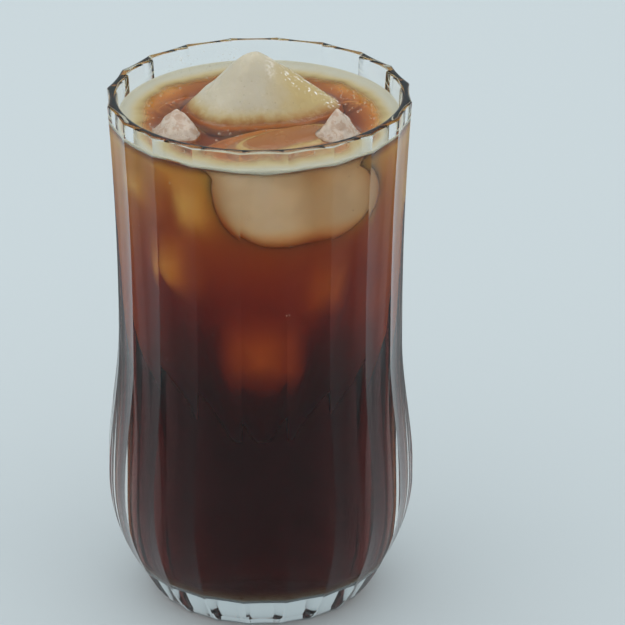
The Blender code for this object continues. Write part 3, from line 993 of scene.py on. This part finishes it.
def glass_profile(glass):
    """(radius, height, share of the flutes' depth, side) from the middle of the foot to that of the floor."""
    foot = glass.foot_radius
    under = [(foot * share, 0.0) for share in FOOT_RINGS]
    outside = arc(foot - FOOT_ROUNDING, FOOT_ROUNDING, FOOT_ROUNDING, -90, 0)
    heights = np.linspace(FOOT_ROUNDING, glass.height - glass.rim_rounding, OUTSIDE_ROWS)[1:]
    outside += [(ridge_radius(glass, z), z) for z in heights]
    rounding = glass.rim_rounding
    top = glass.height - rounding
    outer = glass.rim_radius - rounding
    inner = glass.bore_radius + rounding
    outside += arc(outer, top, rounding, 0, 90)[1:]
    parts = (
        (under, 1.0, "under"), (outside, 1.0, "outside"), ([((outer + inner) / 2, glass.height)], 0.5, "rim"),
        (arc(inner, top, rounding, 90, 180), 0.0, "rim"), (bore_profile(glass, top, 0.0)[1:], 0.0, "bore"))
    return [(radius, z, share, side) for points, share, side in parts for radius, z in points]


def build_glass(glass, drink):
    """Turns the glass's form, presses its flutes and marks the inside that the coffee wets."""
    profile = glass_profile(glass)
    angles = around(glass.flutes * FLUTE_STEPS, glass.first_ridge)
    piece = skin("fluted_glass", [ring(radius, height, angles) for radius, height, _, _ in profile])
    columns = len(angles)
    shares = np.repeat([row[2] for row in profile], columns)
    add_attribute(piece.data, "outside", np.append(shares, [1.0, 0.0]))
    wet = [side == "bore" and height < drink.level + drink.meniscus for _, height, _, side in profile]
    wet_faces = np.repeat(wet[:-1], columns)
    ends = np.repeat([False, True], columns)
    add_attribute(piece.data, "wetted", np.append(wet_faces, ends), "FACE", "BOOLEAN")
    run_tree(piece, flute_tree(), {
        "Flutes": glass.flutes, "Flute Depth": glass.flute_depth, "First Ridge": glass.first_ridge,
        "Dry Finish": glass_material("clear_glass", 0.45),
        "Wetted Finish": glass_material("wetted_glass", 0.0)})
    piece.data.set_sharp_from_angle(angle=GLASS_CREASE)
    finish_piece(piece, "glass", "glass")


def build_coffee(glass, drink, colours):
    """Fills the inside up to a surface that climbs the wall and the ice."""
    angles = around(glass.flutes * FLUTE_STEPS, glass.first_ridge)
    contact = drink.level + drink.meniscus
    sides = [ring(r, z, angles) for r, z in reversed(bore_profile(glass, contact, SEAT))]
    radius = bore_radius(glass, contact) + SEAT
    tops = []
    for share in np.linspace(0, 1, SURFACE_RINGS + 1)[1:]:
        tops.append(surface_ring(glass, drink, radius * max((1 - share ** 2) ** 0.5, SMALLEST_RING), angles))
    piece = skin("coffee_drink", sides + tops)
    cut_round_ice(piece)
    mesh = piece.data
    centres = np.array([face.center for face in mesh.polygons])
    normals = np.array([face.normal for face in mesh.polygons])
    open_faces = (centres[:, 2] > drink.level - UNDER_SURFACE) & (normals[:, 2] > 0.05)
    add_attribute(mesh, "open_surface", np.where(open_faces, 1.0, 0.0), "FACE")
    mesh.set_sharp_from_angle(angle=COFFEE_CREASE)
    mesh.materials.append(coffee_material(colours))
    finish_piece(piece, "coffee", "coffee")


def build_floating_ice(glass, drink, colours):
    """Ice with a glossy crown above the surface and a soft belly below it."""
    cloudy = cloudy_ice_material(colours, drink.level)
    clear = clear_ice_material(colours)
    sunken = sunken_ice_material(glass, colours, drink.level)
    for number, ice in enumerate(FLOATING_ICE):
        is_clear = ice.name in CLEAR_ICE
        columns, rows = CLEAR_ICE_GRID if is_clear else CLOUDY_ICE_GRID
        piece = skin(ice.name + "_melting", ice_rings(glass, drink, ice, columns, rows))
        if ice.name == FILMED_ICE:
            shares = np.linspace(PEAK_SHARE, 1, rows)
            for name, amounts in (("soaked", 1 - ease(part_way(shares, *FILM_ENDS))),
                                  ("bare", part_way(shares, *BARE_BEGINS))):
                values = np.zeros(len(piece.data.vertices))
                values[:rows * columns] = np.repeat(amounts, columns)
                add_attribute(piece.data, name, values)
        roughen(piece, ice.lumps, number + 1)
        if ice.name == FILMED_ICE:
            cut_out(piece, ["ice_large_melting", "ice_right_melting"], -TOUCHING_GAP)
        piece.data.materials.append(clear if is_clear else cloudy)
        piece.data.materials.append(sunken)
        for face in piece.data.polygons:
            face.material_index = int(face.center.z < drink.level - UNDER_SURFACE)
        finish_piece(piece, "ice_clear" if is_clear else "ice_cloudy", ice.name)


def soft_lowest(values, blend):
    """The lowest of stacked values, melted together where they are closer than blend."""
    lowest = values.min(axis=0)
    return lowest - blend * np.log(np.exp(-(values - lowest) / blend).sum(axis=0))


def wall_depth(x, y, z):
    """How much coffee the heap leaves between itself and the glass, in this direction and at this height."""
    heights, depths = np.array(HEAP_WALL_DEPTHS).T
    way = np.degrees(np.arctan2(x, -y))
    beside = ease(part_way(np.abs(way), *HEAP_SIDES_ANGLES)) * ease(part_way(z, *HEAP_SIDES_HEIGHTS))
    layers = [np.interp(z, heights, depths) * (1 - HEAP_SIDES * beside)]
    for cube in CUBES:
        turned = np.radians(degrees_from(way, cube.side))
        across = np.abs(turned * HEAP_SPREAD / cube.half_width)
        along = np.abs((z - cube.height) / cube.half_height)
        share = across ** CUBE_SQUARENESS + along ** CUBE_SQUARENESS
        layers.append(cube.depth + CUBE_CROWN * share ** (2 / CUBE_SQUARENESS))
    return soft_lowest(np.array(layers), HEAP_BLEND)


def top_depth(x, y):
    """How far the heap stays under the coffee's surface."""
    to_edge = ease(part_way(np.hypot(x, y), *HEAP_RIM))
    layers = [HEAP_TOP_DEPTH + (HEAP_EDGE_DEPTH - HEAP_TOP_DEPTH) * to_edge]
    for place in SHALLOWS:
        across, along = turned_about(x, y, place.centre, place.turn)
        share = (across / place.half_size[0]) ** 2 + (along / place.half_size[1]) ** 2
        layers.append(place.depth + SHALLOW_FALL * share)
    return soft_lowest(np.array(layers), SHALLOW_BLEND)


def build_sunken_ice(glass, drink):
    """The heap of ice under the surface, measured out from its middle until it reaches its own limits."""
    rows, columns = HEAP_GRID
    slopes = np.linspace(HEAP_POLES, math.pi - HEAP_POLES, rows)[:, None]
    turns = around(columns)[None, :]
    way = np.stack(np.broadcast_arrays(
        np.sin(slopes) * np.cos(turns), np.sin(slopes) * np.sin(turns), np.cos(slopes)), axis=-1)
    held = np.zeros(way.shape[:2])
    beyond = np.full(way.shape[:2], HEAP_FARTHEST)
    for _ in range(HEAP_HALVINGS):
        middle = (held + beyond) / 2
        x, y, z = np.moveaxis(way * middle[..., None], -1, 0)
        z = z + HEAP_MIDDLE
        room = np.array([
            bore_radius(glass, z) - wall_depth(x, y, z) - np.hypot(x, y),
            drink.level - top_depth(x, y) - z,
            z - HEAP_BOTTOM])
        inside = soft_lowest(room, HEAP_CORNER) > 0
        held = np.where(inside, middle, held)
        beyond = np.where(inside, beyond, middle)
    piece = skin("ice_heap", way * held[..., None] + HEAP_MIDDLE * UP)
    roughen(piece, HEAP_LUMPS, 11)
    piece.data.materials.append(bpy.data.materials["sunken_ice"])
    cut_out(piece, [ice.name + "_melting" for ice in FLOATING_ICE], -HEAP_GAP)
    add_attribute(piece.data, "heap", np.ones(len(piece.data.vertices)))
    finish_piece(piece, "ice_cloudy")


def build_froth(glass, drink, colours):
    """A low ring against the wall: up its outer side, over its top, round its inner edge and back below."""
    angles = around(FROTH_COLUMNS, glass.first_ridge)
    edge = froth_edge(drink, angles)
    wall = bore_radius(glass, drink.level + drink.meniscus) + SEAT
    contact = waves(CONTACT_WAVES, angles)
    upper = []
    lower = []
    for share in np.linspace(0, 1, FROTH_ROWS + 1):
        flat = surface_ring(glass, drink, edge + (wall - edge) * share, angles)
        rounded = (1 - (1 - min(share / FROTH_LIP, 1.0)) ** 2) ** 0.5
        rise = drink.froth_depth * rounded * (1 + FROTH_CLIMB * share ** 4)
        fall = FROTH_SINK + (FROTH_WALL_SINK + contact) * share ** 8
        upper.append(flat + rise * UP)
        lower.append(flat - fall[:, None] * UP)
    rings = upper[::-1] + lower
    piece = skin("froth_ring", rings, closed=True)
    cut_round_ice(piece)
    place = coordinates(piece.data)
    radius = np.hypot(place[:, 0], place[:, 1])
    edge = froth_edge(drink, np.arctan2(place[:, 1], place[:, 0]))
    add_attribute(piece.data, "reach", part_way(radius, edge, wall))
    piece.data.materials.append(froth_material(colours))
    finish_piece(piece, "froth", "foam_ring")


def scatter_bubbles(name, rings, crowding, seed, film):
    """Scatters bubbles over the skin through these rings, as thick as crowding says at each of its points."""
    density, smallest, largest = BUBBLES[name]
    piece = skin(name, rings)
    add_attribute(piece.data, "crowding", np.append(np.ravel(crowding), [0.0, 0.0]))
    run_tree(piece, bubble_tree(), {
        "Density": density, "Smallest": smallest, "Largest": largest, "Seed": seed, "Finish": film})
    finish_piece(piece, "froth")


def gathered(angles, middle, spread):
    """1 at the middle, in degrees, and falling softly to each side."""
    return np.exp(-(degrees_from(np.degrees(angles), middle) / spread) ** 2)


def build_bubbles(glass, drink):
    """Bubbles on the froth's edge and inside the wall, and drops on the dry wall above the drink."""
    film = bubble_material()
    angles = around(FROTH_COLUMNS, glass.first_ridge)
    edge = froth_edge(drink, angles)
    rings = [surface_ring(glass, drink, edge + reach, angles) + BUBBLE_LIFT * UP for reach in BUBBLE_REACHES]
    crowding = np.repeat(BUBBLE_CROWDING, len(angles))
    scatter_bubbles("froth_bubbles", rings, crowding, drink.seed, film)

    angles = around(WALL_COLUMNS)
    heights = np.linspace(WALL_BUBBLES_FROM, drink.level - WALL_BUBBLES_UNDER, WALL_BUBBLE_ROWS)
    rings = [ring(bore_radius(glass, z) - BUBBLE_OFF_WALL, z, angles) for z in heights]
    upper = ease(part_way(heights, *CLUSTER_HEIGHTS))
    crowding = 1 + CLUSTER_CROWDING * np.outer(upper, gathered(angles, BUBBLE_CLUSTER, CLUSTER_WIDTH))
    scatter_bubbles("wall_bubbles", rings, crowding, drink.seed + 1, film)

    heights = np.linspace(drink.level + DROPS_ABOVE, glass.height - DROPS_UNDER_RIM, DROP_ROWS)
    rings = [ring(bore_radius(glass, z) - DROP_OFF_WALL, z, angles) for z in heights]
    crowding = sum(gathered(angles, place, DROP_SPREAD) for place in DROP_PLACES)
    scatter_bubbles("wall_drops", rings, np.tile(crowding, len(heights)), drink.seed + 2, film)


def build_stage(colours):
    """A pale floor, an even soft world, a wide soft lamp and the camera."""
    mesh = bpy.data.meshes.new("studio_floor")
    reach = 4.0
    corners = [(-reach, -reach, 0.0), (reach, -reach, 0.0), (reach, reach, 0.0), (-reach, reach, 0.0)]
    mesh.from_pydata(corners, [], [(0, 1, 2, 3)])
    mesh.materials.append(floor_material(colours))
    floor = add_object("studio_floor", mesh)

    scene = bpy.context.scene
    world = bpy.data.worlds.new("soft_studio")
    world.use_nodes = True
    tree = world.node_tree
    tree.nodes.clear()
    _, y, z = axes(tree, add_node(tree, "ShaderNodeTexCoord").outputs["Generated"])
    lit = math_node(tree, "MAXIMUM", ramp(tree, z, 0.55, 0.85), ramp(tree, y, -0.05, 0.45, 1.0, 0.0))
    colour = mix_colour(tree, lit, (0.40, 0.48, 0.51), (1.16, 1.15, 1.14))
    background = add_node(tree, "ShaderNodeBackground", {"Color": colour})
    add_node(tree, "ShaderNodeOutputWorld", {0: background.outputs[0]})
    scene.world = world

    lamp = bpy.data.lights.new("overhead_softbox", "AREA")
    lamp.shape = "RECTANGLE"
    lamp.size = 0.9
    lamp.size_y = 0.7
    lamp.energy = 2.2
    softbox = add_object("overhead_softbox", lamp)
    softbox.location = (-0.10, 0.35, 0.90)
    softbox.rotation_euler = (Vector((0.0, 0.0, 0.06)) - softbox.location).to_track_quat("-Z", "Y").to_euler()

    camera = add_object("camera", bpy.data.cameras.new("camera"))
    camera.data.sensor_width = 36.0
    camera.data.lens = 346.2
    camera.location = (0.01249, -1.300, 0.664)
    camera.rotation_euler = (math.radians(65.47), 0.0, 0.0)
    scene.camera = camera

    scene.view_settings.view_transform = "Standard"
    scene.cycles.max_bounces = 24
    scene.cycles.transmission_bounces = 24
    scene.cycles.transparent_max_bounces = 24


class MakeGlass(bpy.types.Operator):
    """Build the fluted glass"""

    bl_idname = "iced_coffee.make_glass"
    bl_label = "Glass"

    def execute(self, context):
        build_glass(context.scene.iced_glass, context.scene.iced_drink)
        return {"FINISHED"}


class PourCoffee(bpy.types.Operator):
    """Build the coffee, cut round the floating ice"""

    bl_idname = "iced_coffee.pour_coffee"
    bl_label = "Coffee"

    def execute(self, context):
        scene = context.scene
        build_coffee(scene.iced_glass, scene.iced_drink, scene.iced_colours)
        return {"FINISHED"}


class AddFloatingIce(bpy.types.Operator):
    """Build the four pieces of ice that stand out of the coffee"""

    bl_idname = "iced_coffee.add_floating_ice"
    bl_label = "Floating Ice"

    def execute(self, context):
        scene = context.scene
        build_floating_ice(scene.iced_glass, scene.iced_drink, scene.iced_colours)
        return {"FINISHED"}


class AddSunkenIce(bpy.types.Operator):
    """Build the heap of ice that glows through the coffee"""

    bl_idname = "iced_coffee.add_sunken_ice"
    bl_label = "Sunken Ice"

    def execute(self, context):
        build_sunken_ice(context.scene.iced_glass, context.scene.iced_drink)
        return {"FINISHED"}


class SpreadFroth(bpy.types.Operator):
    """Build the ring of froth"""

    bl_idname = "iced_coffee.spread_froth"
    bl_label = "Froth"

    def execute(self, context):
        scene = context.scene
        build_froth(scene.iced_glass, scene.iced_drink, scene.iced_colours)
        return {"FINISHED"}


class AddBubbles(bpy.types.Operator):
    """Build the bubbles and the drops above them"""

    bl_idname = "iced_coffee.add_bubbles"
    bl_label = "Bubbles"

    def execute(self, context):
        build_bubbles(context.scene.iced_glass, context.scene.iced_drink)
        return {"FINISHED"}


class SetStage(bpy.types.Operator):
    """Set up the floor, light and camera"""

    bl_idname = "iced_coffee.set_stage"
    bl_label = "Stage"

    def execute(self, context):
        build_stage(context.scene.iced_colours)
        return {"FINISHED"}


class IcedCoffeePanel(bpy.types.Panel):
    """Lists the sizes, colours and pieces of the iced coffee"""

    bl_idname = "VIEW3D_PT_iced_coffee"
    bl_label = "Iced Coffee"
    bl_space_type = "VIEW_3D"
    bl_region_type = "UI"
    bl_category = "Iced Coffee"

    def draw(self, context):
        layout = self.layout
        for group in (context.scene.iced_glass, context.scene.iced_drink, context.scene.iced_colours):
            box = layout.box()
            for name in group.__annotations__:
                box.prop(group, name)
        for operator in OPERATORS:
            layout.operator(operator.bl_idname)


OPERATORS = (SetStage, MakeGlass, AddFloatingIce, AddSunkenIce, PourCoffee, SpreadFroth, AddBubbles)
CLASSES = (GlassSizes, DrinkSizes, DrinkColours, *OPERATORS, IcedCoffeePanel)


def register():
    for item in CLASSES:
        bpy.utils.register_class(item)
    bpy.types.Scene.iced_glass = PointerProperty(type=GlassSizes)
    bpy.types.Scene.iced_drink = PointerProperty(type=DrinkSizes)
    bpy.types.Scene.iced_colours = PointerProperty(type=DrinkColours)


def unregister():
    del bpy.types.Scene.iced_colours
    del bpy.types.Scene.iced_drink
    del bpy.types.Scene.iced_glass
    for item in reversed(CLASSES):
        bpy.utils.unregister_class(item)


def main():
    register()
    bpy.ops.iced_coffee.set_stage()
    bpy.ops.iced_coffee.make_glass()
    bpy.ops.iced_coffee.add_floating_ice()
    bpy.ops.iced_coffee.add_sunken_ice()
    bpy.ops.iced_coffee.pour_coffee()
    bpy.ops.iced_coffee.spread_froth()
    bpy.ops.iced_coffee.add_bubbles()


if __name__ == "__main__":
    main()
